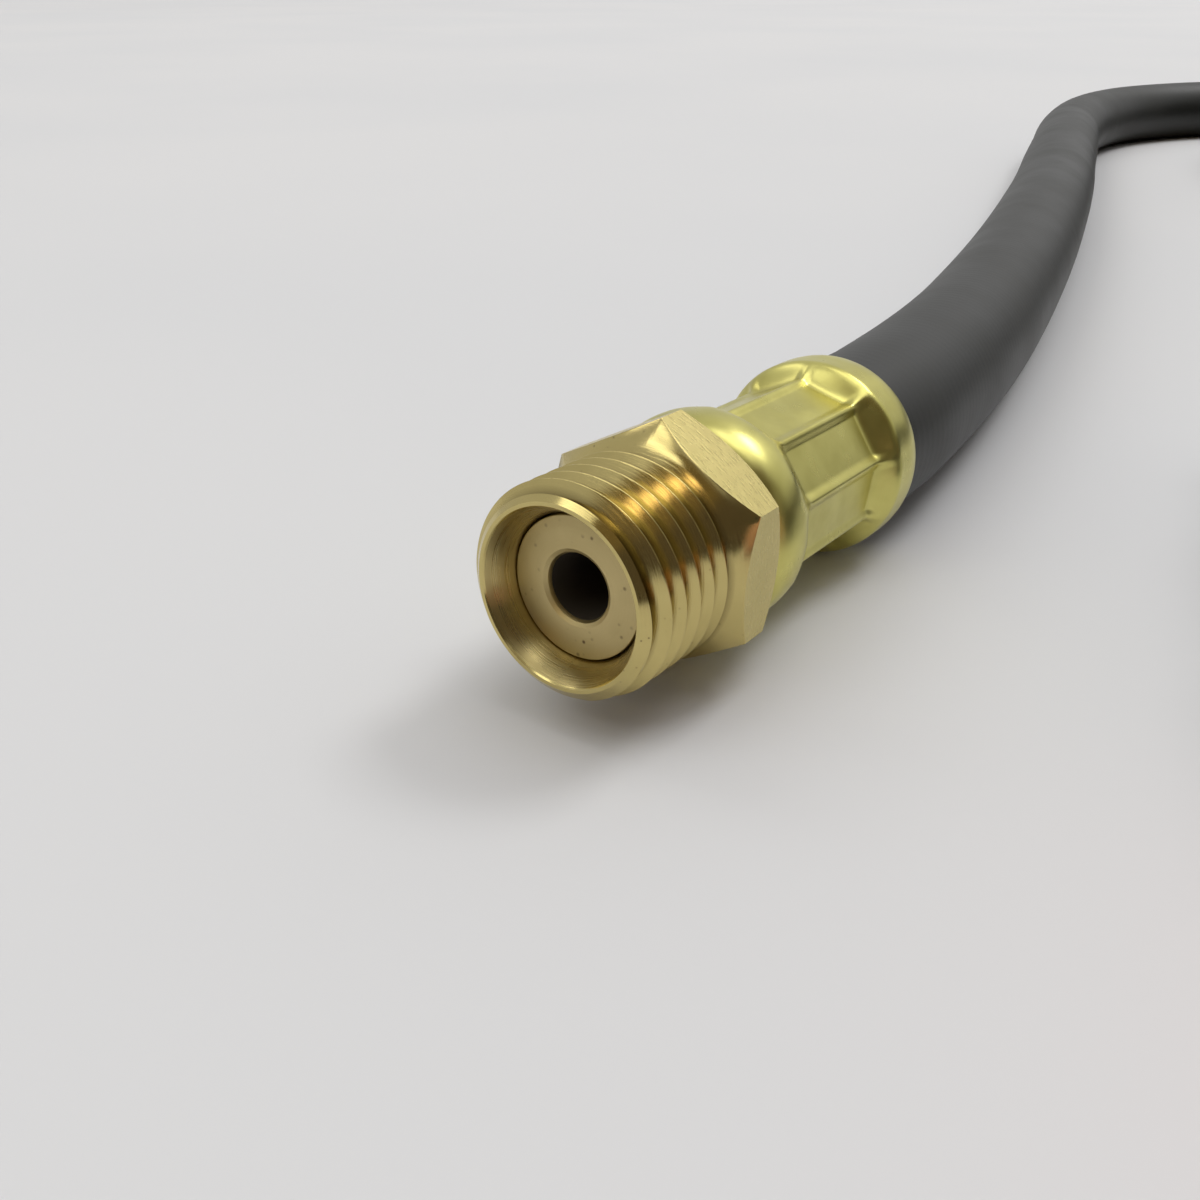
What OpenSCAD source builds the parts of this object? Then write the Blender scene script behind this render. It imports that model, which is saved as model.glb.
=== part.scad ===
// Gas-cooled TIG torch with its one-piece power lead and threaded machine connector.
// The torch lies at the origin, and the lead runs out to the connector by way of a coil.

/* [Connector] */
// Width across the flats of the coupling nut's hexagon
nut_flats = 15; // [14.5:0.5:17]
// Major diameter of the coupling nut's thread
thread_d = 13.95; // [13.5:0.05:14.2]
// Length of the thread, from the mouth to the cone at the hexagon's front
thread_length = 8.55; // [7.8:0.05:8.8]
// Diameter of the gas bore through both hose stems
gas_bore_d = 4.3; // [4:0.05:4.8]

/* [Lead] */
// Outer diameter of the rubber hose
hose_d = 13.5; // [13:0.1:13.8]
// Radius of the coil's outermost bottom turn
coil_r = 100.5; // [96:0.5:106]

/* [Torch] */
// Diameter of the handle
handle_d = 24; // [23:0.5:27]
// Length of the handle
handle_length = 140; // [130:1:160]
// Angle between the handle and the electrode
head_angle = 70; // [60:1:80]
// Length of the ceramic cup
cup_length = 47; // [44:1:56]
// Orifice of the ceramic cup
cup_bore_d = 11.1; // [10.8:0.1:11.5]
// Length of the back cap outside the head
back_cap_length = 38; // [34:1:44]
// Diameter of the tungsten electrode
tungsten_d = 2.4; // [1.6:0.1:2.4]

/* [Hidden] */
$fn = 64;

brass = [0.80, 0.66, 0.33];
bright_brass = [0.78, 0.74, 0.38];
copper = [0.80, 0.45, 0.28];
rubber = [0.13, 0.13, 0.12];
steel = [0.62, 0.63, 0.65];
ceramic = [0.86, 0.50, 0.42];

small = 0.01;
fit = 0.1;
through = 200;

// Where the connector lies: the middle of its mouth, and how its axis runs to the hose
mouth_at = [-127, 8, 9.13];
connector_heading = 53.65;
connector_dip = 2.26;

// Coupling nut, measured along its axis from the mouth
thread_r = thread_d / 2;
rim_r = thread_r - 0.76;
mouth_r = rim_r - 0.57;
seat_r = mouth_r - 0.945;
seat_depth = 2.06;
mouth_chamfer = 1.45;
flange_end = 4.9;
nut_shoulder = flange_end + fit;
hex_corner_r = nut_flats / 2 / cos(30);
hex_front_slope = 0.66;
hex_start = thread_length + (hex_corner_r - thread_r) * hex_front_slope;
hex_length = 3.6;
nut_end = hex_start + hex_length;
hex_turn = 2;
hex_rear_slope = 0.82;
hex_rear_r = hex_corner_r - 1.4;
hex_turning_r = hex_corner_r + 1;

// Hose stem, which is the same at the connector and at the torch
bore_r = gas_bore_d / 2;
stem_face = 1.93;
flange_r = seat_r - fit;
shank_r = 3.8;
barb_r = 3.3;
barb_root_r = 3.0;
barbs = 5;
barb_pitch = 2.6;
collar_r = 5;
ferrule_start = nut_end + 0.15;
collar_start = ferrule_start + 1.6;
barb_start = collar_start + 1.4;
stem_end = barb_start + barbs * barb_pitch + 2;

// Crimped ferrule: a bead at each end of a flattened waist with a narrow rib at each corner
ferrule_length = 21.8;
ferrule_end = ferrule_start + ferrule_length;
bead_r = hose_d / 2 + 0.85;
front_bead_peak = ferrule_start + 2.4;
front_nose_r = 1.2;
front_nose_length = 2.3;
rear_bead_peak = ferrule_end - 2.2;
rear_nose_r = 0.6;
rear_nose_length = 2.1;
waist_ribs = 9;
rib_r = hose_d / 2 - 0.07;
rib_width = 0.6;
waist_flat_r = hose_d / 2 - 0.7;
waist_start = ferrule_start + 5.8;
waist_end = ferrule_start + 15.4;
rear_rise = 2.4;
rib_turn = 15.4;
crimped_hose_r = hose_d / 2 - 1.5;
ferrule_wall_gap = 0.05;

// Hose
hose_r = hose_d / 2;
hose_bore_r = 3.35;
hose_end_start = collar_start + 1.45;
connector_hose_end_at = ferrule_end + 0.1;
strand_r = 0.92;
strand_circle_r = 1.9;
strands = 6;

// Lead: where the connector's hose ends, the coil's place, and the torch's rear opening
coil_centre = [122, 296 - coil_r];
coil_turns = 7.25;
coil_reverse = 3.5;
turn_pitch = hose_d + 0.7;
reverse_blend = 0.1;
coil_inner_r = coil_r - turn_pitch * (sqrt(pow(coil_reverse, 2) + pow(reverse_blend, 2)) - reverse_blend);
loop_rings = 24;
coil_sides = 6;
lead_sides = 10;
straight_end = hose_d;
torch_rear = [97.3, 5.15, handle_d / 2];

// Torch, measured along the handle from its rear opening
torch_flip = 63;
handle_bore_r = handle_d / 2 - 2.7;
handle_entry_r = hose_r + 0.45;
grip_grooves = 11;
grip_pitch = 7;
grip_start = 34;
grip_depth = 0.7;
grip_slope = 0.8;
grip_floor = 1.4;
neck_cover_r = 7.5;
neck_cover_hold = 19;
handle_front_r = neck_cover_r + 1.5;
handle_hold = 20;
neck_tube_r = 3.5;
neck_bore_r = 2.3;
union_start = torch_flip - ferrule_start + 1.2;
union_end = union_start + 13.5;
union_shoulder = torch_flip - flange_end - fit;
union_corner_r = 14 / 2 / cos(30);
neck_boss_r = 4.95;
neck_boss_length = 14;
neck_boss_start = torch_flip - stem_face + small * 5;
head_at = handle_length + 27;

// Head, measured along the electrode's axis from the handle's axis towards the cup
core_r = 6.6;
core_front = 10;
core_rear = -14;
cover_r = 9.5;
cover_rear = -12.5;
side_boss_r = 4.6;
side_boss_reach = 12;
socket_depth = 3;
cap_thread_r = 4.9;
cap_thread_length = 10;
cap_bore_r = 2.6;
gasket_thickness = 2.6;
gasket_r = 8.3;
cup_start = core_front + gasket_thickness + 0.1;
cup_end = cup_start + cup_length;
cup_thread_r = 6;
cup_thread_length = 7.5;
cup_skirt_r = 9.4;
cup_lip_r = cup_bore_d / 2 + 2.3;
collet_body_r = 4.5;
collet_body_end = cup_end - 13;
collet_body_tail_r = 4.7;
gas_hole_r = 0.8;
collet_r = 2;
collet_tail = -9;
collet_slit = 0.5;
collet_slit_length = 22;
tungsten_r = tungsten_d / 2;
tungsten_stickout = 5;
tungsten_tail = -24;
tip_length = 5;
tip_r = 0.2;
cap_gap = 0.4;
cap_face = core_rear - cap_gap;
cap_end = cap_face - back_cap_length;
cap_r = 8.4;
cap_tip_r = 5.6;
cap_wall = 4;
cap_flutes = 12;
ring_section_r = 0.7;
ring_r = cap_thread_r + 0.15 + ring_section_r;

// The torch leans on the cup's lip until the lip meets the surface
lean = asin((handle_d / 2 - cup_lip_r) / (cup_end * sin(head_angle)));

echo(lean = lean, head_at = head_at, cup_end = cup_end, cap_end = cap_end);

// Placing
module at_connector() {
    translate(mouth_at) rotate([0, 90 + connector_dip, connector_heading]) children();
}

module at_torch() {
    translate(torch_rear) rotate([0, -90, 0]) rotate([0, 0, -lean]) children();
}

module at_flipped_stem() {
    at_torch() translate([0, 0, torch_flip]) rotate([180, 0, 0]) children();
}

module at_head() {
    at_torch() translate([0, 0, head_at]) rotate([head_angle, 0, 0]) children();
}

module tube(from, to, outer, inner) {
    translate([0, 0, from]) difference() {
        cylinder(h = to - from, r = outer);
        translate([0, 0, -1]) cylinder(h = to - from + 2, r = inner);
    }
}

// Hose, stem and ferrule shapes shared by the two ends of the lead
module stem_shape() {
    tooth = [for (i = [0 : barbs - 1]) each [
        [barb_root_r, barb_start + i * barb_pitch],
        [barb_r, barb_start + (i + 0.85) * barb_pitch]]];
    rotate_extrude() polygon(concat(
        [[bore_r, stem_face + 0.4], [bore_r + 0.4, stem_face], [flange_r - 0.15, stem_face],
         [flange_r, stem_face + 0.15], [flange_r, flange_end], [shank_r, flange_end],
         [shank_r, collar_start], [collar_r, collar_start], [collar_r, barb_start],
         [barb_root_r, barb_start - small]],
        tooth,
        [[barb_root_r, barb_start + barbs * barb_pitch], [barb_root_r, stem_end], [bore_r, stem_end]]));
}

function ease(t) = (1 - cos(180 * t)) / 2;

function eased(from, to, r0, r1, steps = 6) =
    [for (i = [0 : steps]) [r0 + (r1 - r0) * ease(i / steps), from + (to - from) * i / steps]];

module hose_end_shape(end) {
    rotate_extrude() polygon(concat(
        [[hose_bore_r, hose_end_start], [crimped_hose_r, hose_end_start]],
        eased(waist_end, ferrule_end - 3, crimped_hose_r, hose_r),
        [[hose_r, end], [hose_bore_r, end]]));
}

module ferrule_shape() {
    difference() {
        union() {
            rotate_extrude() polygon(concat(
                [[0, ferrule_start], [bead_r - front_nose_r, ferrule_start]],
                [for (a = [-75 : 15 : 0])
                    [bead_r - front_nose_r * (1 - cos(a)), front_bead_peak + front_nose_length * sin(a)]],
                eased(front_bead_peak + 0.4, waist_start + 0.4, bead_r, waist_flat_r),
                eased(waist_end, waist_end + rear_rise, waist_flat_r, bead_r),
                [for (a = [0 : 15 : 75])
                    [bead_r - rear_nose_r * (1 - cos(a)), rear_bead_peak + rear_nose_length * sin(a)]],
                [[bead_r - rear_nose_r, ferrule_end], [0, ferrule_end]]));
            translate([0, 0, waist_start - 1.2])
                linear_extrude(waist_end - waist_start + 2.4) waist_section();
        }
        translate([0, 0, ferrule_start - 1]) cylinder(h = 3, r = shank_r + ferrule_wall_gap);
        rotate_extrude() polygon(concat(
            [[0, collar_start - ferrule_wall_gap], [crimped_hose_r + ferrule_wall_gap, collar_start - ferrule_wall_gap]],
            eased(waist_end, ferrule_end - 3, crimped_hose_r + ferrule_wall_gap, hose_r + ferrule_wall_gap),
            [[hose_r + ferrule_wall_gap, ferrule_end + 1], [0, ferrule_end + 1]]));
    }
}

module waist_section() {
    rotate(rib_turn) circle(r = waist_flat_r / cos(180 / waist_ribs), $fn = waist_ribs);
    for (i = [0 : waist_ribs - 1])
        rotate(rib_turn + i * 360 / waist_ribs)
            translate([rib_r - 1, -rib_width / 2]) square([1, rib_width]);
}

module conductor_shape(end) {
    for (i = [0 : strands - 1])
        rotate([0, 0, i * 360 / strands])
            translate([strand_circle_r, 0, stem_end + small])
                cylinder(h = end - stem_end - small, r = strand_r, $fn = 24);
    translate([0, 0, stem_end + small]) cylinder(h = end - stem_end - small, r = strand_r, $fn = 24);
}

// Sweeping a tube: rings square to the route, joined by triangles
function unit(v) = v / norm(v);

function direction(path, i, first, last) =
    i == 0 ? first : i == len(path) - 1 ? last : unit(path[i + 1] - path[i - 1]);

function ring(centre, along, r, sides) =
    let (side = unit(cross(along, [0, 0, 1])), up = cross(side, along))
    [for (k = [0 : sides - 1]) centre + r * (cos(k * 360 / sides) * up - sin(k * 360 / sides) * side)];

module swept_tube(path, r, sides, first, last) {
    rings = len(path);
    points = [for (i = [0 : rings - 1]) each ring(path[i], direction(path, i, first, last), r, sides)];
    walls = [for (i = [0 : rings - 2]) for (k = [0 : sides - 1])
        let (a = i * sides + k, b = i * sides + (k + 1) % sides)
        each [[a, b, b + sides], [a, b + sides, a + sides]]];
    near_cap = [for (k = [1 : sides - 2]) [0, k + 1, k]];
    far = (rings - 1) * sides;
    far_cap = [for (k = [1 : sides - 2]) [far, far + k, far + k + 1]];
    polyhedron(points, concat(walls, near_cap, far_cap));
}

// Routes of the lead
connector_axis = [cos(connector_dip) * cos(connector_heading), cos(connector_dip) * sin(connector_heading),
    -sin(connector_dip)];
lie = hose_r;
front_start = mouth_at + connector_hose_end_at * connector_axis;
front_end = [coil_centre[0] - straight_end, coil_centre[1] + coil_r, lie];
front_route = concat([front_start, front_start + 8 * connector_axis],
    [[-89, 64.5, lie + 0.1], [-78, 87, lie], [-67, 111.5, lie], [-56, 137.5, lie], [-45.5, 163.5, lie],
     [-36.6, 187, lie], [-26.5, 213, lie], [-17.5, 236, lie], [-6, 258, lie], [10, 277, lie],
     [33, 290.5, lie], [60, 296, lie], [84, 296, lie]],
    [front_end]);

function coil_turn_r(t) =
    coil_inner_r + turn_pitch * (sqrt(pow(t - coil_reverse, 2) + pow(reverse_blend, 2)) - reverse_blend);
function coil_climb(t) = max(0, min(1, (t - coil_reverse + 0.25) / 0.5));
function coil_point(t) =
    let (a = 90 - 360 * t, r = coil_turn_r(t))
    [coil_centre[0] + r * cos(a), coil_centre[1] + r * sin(a), lie + turn_pitch * coil_climb(t)];
coil_steps = coil_turns * loop_rings;
coil_last = coil_point(coil_turns);
rear_start = coil_last - [0, straight_end, 0];
coil_route = concat([front_end], [for (i = [0 : coil_steps]) coil_point(i / loop_rings)], [rear_start]);

rear_x = rear_start[0];
rear_y = rear_start[1];
rear_route = concat([rear_start],
    [[rear_x, rear_y - 21, 19], [rear_x, rear_y - 41, 13.5], [rear_x, rear_y - 65, 8.5],
     [rear_x - 0.5, 76, lie], [rear_x - 3.5, 52, lie], [rear_x - 14, 28, lie],
     [rear_x - 34, 11.5, 7], [rear_x - 60, torch_rear[1], 10.2], [rear_x - 74, torch_rear[1], torch_rear[2]],
     [rear_x - 102, torch_rear[1], torch_rear[2]]],
    [torch_rear]);

function route_length(path) = len(path) < 2 ? 0 : route_sum(path, 0);
function route_sum(path, i) = i > len(path) - 2 ? 0 : norm(path[i + 1] - path[i]) + route_sum(path, i + 1);

skip = loop_rings / 2;
coil_gap = min([for (i = [0 : len(coil_route) - 1 - skip]) for (j = [i + skip : len(coil_route) - 1])
    norm(coil_route[i] - coil_route[j])]) - hose_d;
echo(coil_gap = coil_gap);
echo(front = route_length(front_route), coil = route_length(coil_route), rear = route_length(rear_route),
    lead = route_length(front_route) + route_length(coil_route) + route_length(rear_route));

// Connector
module coupling_nut() {
    color(brass) at_connector() difference() {
        union() {
            rotate_extrude() polygon([[0, 0], [rim_r, 0], [thread_r, mouth_chamfer], [thread_r, hex_start],
                [0, hex_start]]);
            intersection() {
                translate([0, 0, thread_length]) rotate([0, 0, hex_turn])
                    cylinder(h = nut_end - thread_length, r = hex_corner_r, $fn = 6);
                rotate_extrude() polygon([[0, thread_length], [thread_r, thread_length],
                    [hex_turning_r, thread_length + (hex_turning_r - thread_r) * hex_front_slope],
                    [hex_turning_r, nut_end - (hex_turning_r - hex_rear_r) * hex_rear_slope],
                    [hex_rear_r, nut_end], [0, nut_end]]);
            }
        }
        rotate_extrude() polygon([[0, -1], [mouth_r + 0.28, -1], [mouth_r, 0], [seat_r, seat_depth],
            [seat_r, nut_shoulder], [shank_r + fit, nut_shoulder], [shank_r + fit, nut_end + 1], [0, nut_end + 1]]);
    }
}

module connector_stem() {
    color(brass) at_connector() stem_shape();
}

module connector_ferrule() {
    color(bright_brass) at_connector() ferrule_shape();
}

module connector_hose_end() {
    color(rubber) at_connector() hose_end_shape(connector_hose_end_at);
}

module connector_conductor() {
    color(copper) at_connector() conductor_shape(connector_hose_end_at);
}

// Lead
module lead_front() {
    color(rubber) swept_tube(front_route, hose_r, lead_sides, connector_axis, [1, 0, 0]);
}

module lead_coil() {
    color(rubber) swept_tube(coil_route, hose_r, coil_sides, [1, 0, 0], [0, -1, 0]);
}

module lead_rear() {
    color(rubber) swept_tube(rear_route, hose_r, lead_sides, [0, -1, 0], [-1, 0, 0]);
}

// Torch
module torch_hose_end() {
    color(rubber) at_flipped_stem() hose_end_shape(torch_flip);
}

module torch_conductor() {
    color(copper) at_flipped_stem() conductor_shape(torch_flip);
}

module torch_ferrule() {
    color(bright_brass) at_flipped_stem() ferrule_shape();
}

module torch_stem() {
    color(brass) at_flipped_stem() stem_shape();
}

module torch_union_nut() {
    color(brass) at_torch() difference() {
        translate([0, 0, union_start]) cylinder(h = union_end - union_start, r = union_corner_r, $fn = 6);
        translate([0, 0, union_start - 1]) cylinder(h = union_end, r = shank_r + ferrule_wall_gap);
        translate([0, 0, union_shoulder + fit]) cylinder(h = union_end, r = neck_boss_r + ferrule_wall_gap);
    }
}

module neck_tube() {
    color(copper) at_torch() difference() {
        union() {
            translate([0, 0, neck_boss_start]) cylinder(h = neck_boss_length, r = neck_boss_r);
            translate([0, 0, neck_boss_start])
                cylinder(h = head_at - side_boss_reach + socket_depth - neck_boss_start, r = neck_tube_r);
        }
        translate([0, 0, neck_boss_start - 1]) cylinder(h = head_at, r = neck_bore_r);
    }
}

module handle() {
    grip = [for (i = [0 : grip_grooves - 1]) each [
        [handle_d / 2, grip_start + i * grip_pitch],
        [handle_d / 2 - grip_depth, grip_start + i * grip_pitch + grip_slope],
        [handle_d / 2 - grip_depth, grip_start + i * grip_pitch + grip_slope + grip_floor],
        [handle_d / 2, grip_start + i * grip_pitch + 2 * grip_slope + grip_floor]]];
    color(rubber) at_torch() rotate_extrude() polygon(concat(
        [[handle_entry_r + 0.8, 0], [handle_d / 2 - 1.5, 0], [handle_d / 2, 1.5]],
        grip,
        [[handle_d / 2, handle_length - 24]],
        eased(handle_length - 22, handle_length - 4, handle_d / 2, handle_front_r, 8),
        [[neck_cover_r + 0.5, handle_length], [neck_cover_r + small, handle_length],
         [neck_cover_r + small, handle_length - handle_hold], [handle_bore_r, handle_length - handle_hold - 4],
         [handle_bore_r, 8], [handle_entry_r, 6], [handle_entry_r, 0.8]]));
}

module head_core() {
    color(copper) at_head() difference() {
        union() {
            tube(core_rear, core_front, core_r, cap_thread_r + fit);
            difference() {
                rotate([-head_angle, 0, 0]) translate([0, 0, -side_boss_reach])
                    cylinder(h = side_boss_reach, r = side_boss_r);
                cylinder(h = through, r = cap_thread_r + fit, center = true);
            }
        }
        rotate([-head_angle, 0, 0]) translate([0, 0, -side_boss_reach - 1])
            cylinder(h = socket_depth + 1, r = neck_tube_r + small);
        rotate([-head_angle, 0, 0]) translate([0, 0, -side_boss_reach])
            cylinder(h = side_boss_reach, r = neck_bore_r);
    }
}

module head_insulation() {
    color(rubber) at_head() difference() {
        union() {
            rotate_extrude() polygon(concat(
                [[0, cover_rear], [cover_r - 2.5, cover_rear]],
                [for (a = [-60 : 15 : 0]) [cover_r - 2 + 2 * cos(a), cover_rear + 2 + 2 * sin(a)]],
                [for (a = [0 : 15 : 75]) [cover_r - 1 + cos(a), core_front - 1.1 + sin(a)]],
                [[cover_r - 1, core_front - small], [0, core_front - small]]));
            rotate([-head_angle, 0, 0]) translate([0, 0, -(head_at - handle_length) - neck_cover_hold])
                cylinder(h = head_at - handle_length + neck_cover_hold, r = neck_cover_r);
        }
        cylinder(h = through, r = core_r + small, center = true);
        rotate([-head_angle, 0, 0]) translate([0, 0, -side_boss_reach - small])
            cylinder(h = side_boss_reach + small, r = side_boss_r + small);
        rotate([-head_angle, 0, 0]) translate([0, 0, -through]) cylinder(h = through, r = neck_tube_r + small);
    }
}

module back_cap() {
    flute_r = 0.9;
    flute_length = 9;
    color(rubber) at_head() difference() {
        union() {
            rotate_extrude() polygon(concat(
                [[0, cap_end]],
                [for (a = [-75 : 15 : 0]) [cap_tip_r - 2 + 2 * cos(a), cap_end + 2.1 + 2 * sin(a)]],
                eased(cap_end + 6, cap_face - 12, cap_tip_r, cap_r),
                [[cap_r, cap_face - 0.6], [cap_r - 0.6, cap_face], [0, cap_face]]));
            translate([0, 0, cap_face - 1]) cylinder(h = cap_thread_length + 1, r = cap_thread_r);
        }
        for (i = [0 : cap_flutes - 1])
            rotate([0, 0, i * 360 / cap_flutes]) translate([cap_r + 0.35, 0, cap_face - 2 - flute_length])
                cylinder(h = flute_length, r = flute_r, $fn = 24);
        translate([0, 0, cap_end + cap_wall]) cylinder(h = through, r = cap_bore_r);
        tube(cap_face - ring_section_r * 2, cap_face + 1, ring_r + ring_section_r + 0.15, cap_thread_r);
    }
}

module cap_o_ring() {
    color(rubber) at_head() translate([0, 0, cap_face + cap_gap - 0.1 - ring_section_r]) rotate_extrude()
        translate([ring_r, 0]) circle(r = ring_section_r, $fn = 24);
}

module collet_body() {
    neck_start = cup_start + cup_thread_length;
    color(copper) at_head() difference() {
        union() {
            rotate_extrude() polygon([[0, 1], [collet_body_tail_r, 1], [collet_body_tail_r, cup_start],
                [cup_thread_r, cup_start], [cup_thread_r, neck_start], [collet_body_r, neck_start + 1],
                [collet_body_r, collet_body_end - 6], [2.3, collet_body_end], [0, collet_body_end]]);
        }
        cylinder(h = collet_body_end - 3, r = collet_r + small);
        cylinder(h = through, r = tungsten_r + 0.3);
        for (a = [0, 90])
            translate([0, 0, neck_start + 6]) rotate([0, 0, a]) rotate([90, 0, 0])
                cylinder(h = 3 * collet_body_r, r = gas_hole_r, center = true);
    }
}

module collet() {
    color(copper) at_head() difference() {
        translate([0, 0, collet_tail]) cylinder(h = collet_body_end - 3.2 - collet_tail, r = collet_r);
        cylinder(h = through, r = tungsten_r + 0.04, center = true);
        for (a = [0, 90]) rotate([0, 0, a])
            translate([-2 * collet_r, -collet_slit / 2, collet_body_end - collet_slit_length])
                cube([4 * collet_r, collet_slit, through]);
    }
}

module cup_gasket() {
    color([0.92, 0.92, 0.9]) at_head()
        tube(core_front + small, core_front + gasket_thickness, gasket_r, collet_body_tail_r + small);
}

module ceramic_cup() {
    color(ceramic) at_head() difference() {
        rotate_extrude() polygon(concat(
            [[0, cup_start], [cup_skirt_r - 0.8, cup_start], [cup_skirt_r, cup_start + 0.8]],
            eased(cup_start + 14, cup_start + 24, cup_skirt_r, cup_lip_r + 0.5),
            [[cup_lip_r, cup_end - 0.6], [cup_lip_r - 0.6, cup_end], [0, cup_end]]));
        translate([0, 0, cup_start - 1]) cylinder(h = cup_thread_length + 2.4, r = cup_thread_r + fit);
        translate([0, 0, cup_start]) cylinder(h = cup_length + 1, r = cup_bore_d / 2);
    }
}

module tungsten_electrode() {
    point_at = cup_end + tungsten_stickout;
    color(steel) at_head() rotate_extrude() polygon([[0, tungsten_tail], [tungsten_r, tungsten_tail],
        [tungsten_r, point_at - tip_length], [tip_r, point_at], [0, point_at]]);
}

coupling_nut();
connector_stem();
connector_ferrule();
connector_hose_end();
connector_conductor();
lead_front();
lead_coil();
lead_rear();
torch_hose_end();
torch_conductor();
torch_ferrule();
torch_stem();
torch_union_nut();
neck_tube();
head_core();
head_insulation();
handle();
back_cap();
cap_o_ring();
collet_body();
collet();
cup_gasket();
ceramic_cup();
tungsten_electrode();
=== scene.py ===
import math

import bmesh
import bpy
from mathutils import Matrix, Vector


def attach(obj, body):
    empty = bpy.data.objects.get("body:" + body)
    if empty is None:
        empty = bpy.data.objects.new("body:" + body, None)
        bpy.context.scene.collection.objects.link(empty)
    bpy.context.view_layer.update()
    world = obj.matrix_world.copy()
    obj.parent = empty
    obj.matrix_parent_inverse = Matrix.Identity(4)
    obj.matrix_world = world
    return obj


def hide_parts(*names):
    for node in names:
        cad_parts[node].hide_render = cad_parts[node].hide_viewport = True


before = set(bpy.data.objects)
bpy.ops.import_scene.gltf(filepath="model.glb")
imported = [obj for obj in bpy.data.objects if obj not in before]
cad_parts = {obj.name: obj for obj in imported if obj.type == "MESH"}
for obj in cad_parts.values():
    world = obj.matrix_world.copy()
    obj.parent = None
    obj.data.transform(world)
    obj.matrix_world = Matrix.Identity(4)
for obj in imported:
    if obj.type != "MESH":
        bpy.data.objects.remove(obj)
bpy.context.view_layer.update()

MM = 0.001
TAU = 2 * math.pi

# ---------------------------------------------------------------- sizes, in millimetres and radians
# Where the connector lies: the middle of its mouth, and how its axis runs to the hose.
# Places along the connector are measured from its mouth.
MOUTH_AT = Vector((-127, 8, 9.13))
HEADING = math.radians(53.65)
DIP = math.radians(2.26)

# Coupling nut: its thread, with a crest at THREAD_START_Z where the angle is -THREAD_PHASE. The
# rounds of its crests and roots take ROUNDED_OFF from the depth of a sharp thread. The slopes of
# its run-out and of the lip are radius over length.
THREAD_R = 6.975
THREAD_PITCH = 1.5
THREAD_LENGTH = 8.58
THREAD_START_Z = -0.624
THREAD_PHASE = math.radians(287.43)
FLANK = math.radians(60)
CREST_ROUND = 0.045
ROOT_ROUND = 0.1
ROUNDED_OFF = (CREST_ROUND + ROOT_ROUND) * (1 / math.cos(FLANK) - 1)
THREAD_DEPTH = round(THREAD_PITCH / 2 * math.tan(FLANK) - ROUNDED_OFF, 3)
FLANK_KNOTS = (0.06, 0.2, 0.35, 0.5, 0.65, 0.8, 0.94)
RUNOUT_SLOPE = 1.7

# The thread is cut deeper at its entry, by a factor that fades out after ENTRY_END
ENTRY_DEPTH = 1.25
ENTRY_END = 1.4
ENTRY_FADE = 0.6

# Its lip: a flat rim, then a cone, and behind the cone the first groove
RIM_R = 5.95
BEVEL_SLOPE = 1.1
LIP_LENGTH = 0.34
LIP_BACK_SLOPE = 2.8

# Its hexagon, with turned cones at both ends and broken edges. Its slopes are length over radius.
HEX_FLATS = 15.0
HEX_TURN = math.radians(2)
HEX_FRONT_SLOPE = 0.74
HEX_REAR_SLOPE = 0.82
HEX_REAR_R = 7.26
HEX_EDGE = 0.06
HEX_EDGE_ALONG = 0.04
NUT_END = 13.26

# Its inside: the mouth and the seat, with broken edges, and the bore round the stem's shank
MOUTH_R = 5.645
MOUTH_EDGE = 0.06
MOUTH_EDGE_IN = 0.04
SEAT_R = 4.7
SEAT_DEPTH = 2.06
SEAT_EDGE = 0.05
NUT_SHOULDER = 5.0
SHANK_BORE_R = 3.9

# Hose stem
STEM_FACE = 1.93
STEM_END = 31.41
GAS_BORE_R = 2.15
BORE_CHAMFER = 0.37
BORE_CHAMFER_DEPTH = 0.4
BORE_CHAMFER_MIDDLE = (0.12, 0.16)
FLANGE_R = 4.6
FLANGE_END = 4.9
FLANGE_EDGE = 0.12
SHANK_R = 3.8
COLLAR_R = 5.0
COLLAR_START = 15.01
BARBS = 5
BARB_START = 16.41
BARB_PITCH = 2.6
BARB_LENGTH = 2.2
BARB_R = 3.3
TAIL_R = 3.0
TAIL_LENGTH = 2

# Ferrule: a bead, a waist with ribs, and a bead. Each bead has a peak, and is rounded from there
# to its end, where it is lower by its drop. A rib's foot is RIB_FOOT from its middle.
FERRULE_START = 13.41
FERRULE_END = 35.21
BEAD_R = 7.6
FRONT_PEAK = 15.81
REAR_PEAK = 33.01
FRONT_DROP = 1.25
REAR_DROP = 0.62
END_POWER = 2.2
WAIST_START = 19.51
WAIST_END = 29.7
WAIST_POWER = 1.4
REAR_RISE = 2.0
WAIST_FLAT_R = 6.05
RIBS = 9
RIB_R = 6.64
RIB_TURN = math.radians(15.4)
RIB_FOOT = 0.7
RIB_SIDE = 0.8
CRIMPED_BORE_R = 5.3
BORE_MOUTH = 3
CLEARANCE = 0.05

# Hose and its route, which repeats the route in the part's source
HOSE_R = 6.75
HOSE_END_AT = 35.31
STRAIGHT_AT_FERRULE = 8
LIE = HOSE_R
STRAIGHT_END = 13.5
TURN_PITCH = 14.2
COIL_R = 100.5
COIL_TURNS = 7.25
COIL_REVERSE = 3.5
REVERSE_BLEND = 0.1
CLIMB_TURNS = 0.5
COIL_CENTRE = Vector((122, 296 - COIL_R, 0))
TORCH_REAR = Vector((97.3, 5.15, 12))
FRONT_POINTS = [
    (-89, 64.5, LIE + 0.1), (-78, 87, LIE), (-67, 111.5, LIE), (-56, 137.5, LIE), (-45.5, 163.5, LIE),
    (-36.6, 187, LIE), (-26.5, 213, LIE), (-17.5, 236, LIE), (-6, 258, LIE), (10, 277, LIE),
    (33, 290.5, LIE), (60, 296, LIE), (84, 296, LIE)]

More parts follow.
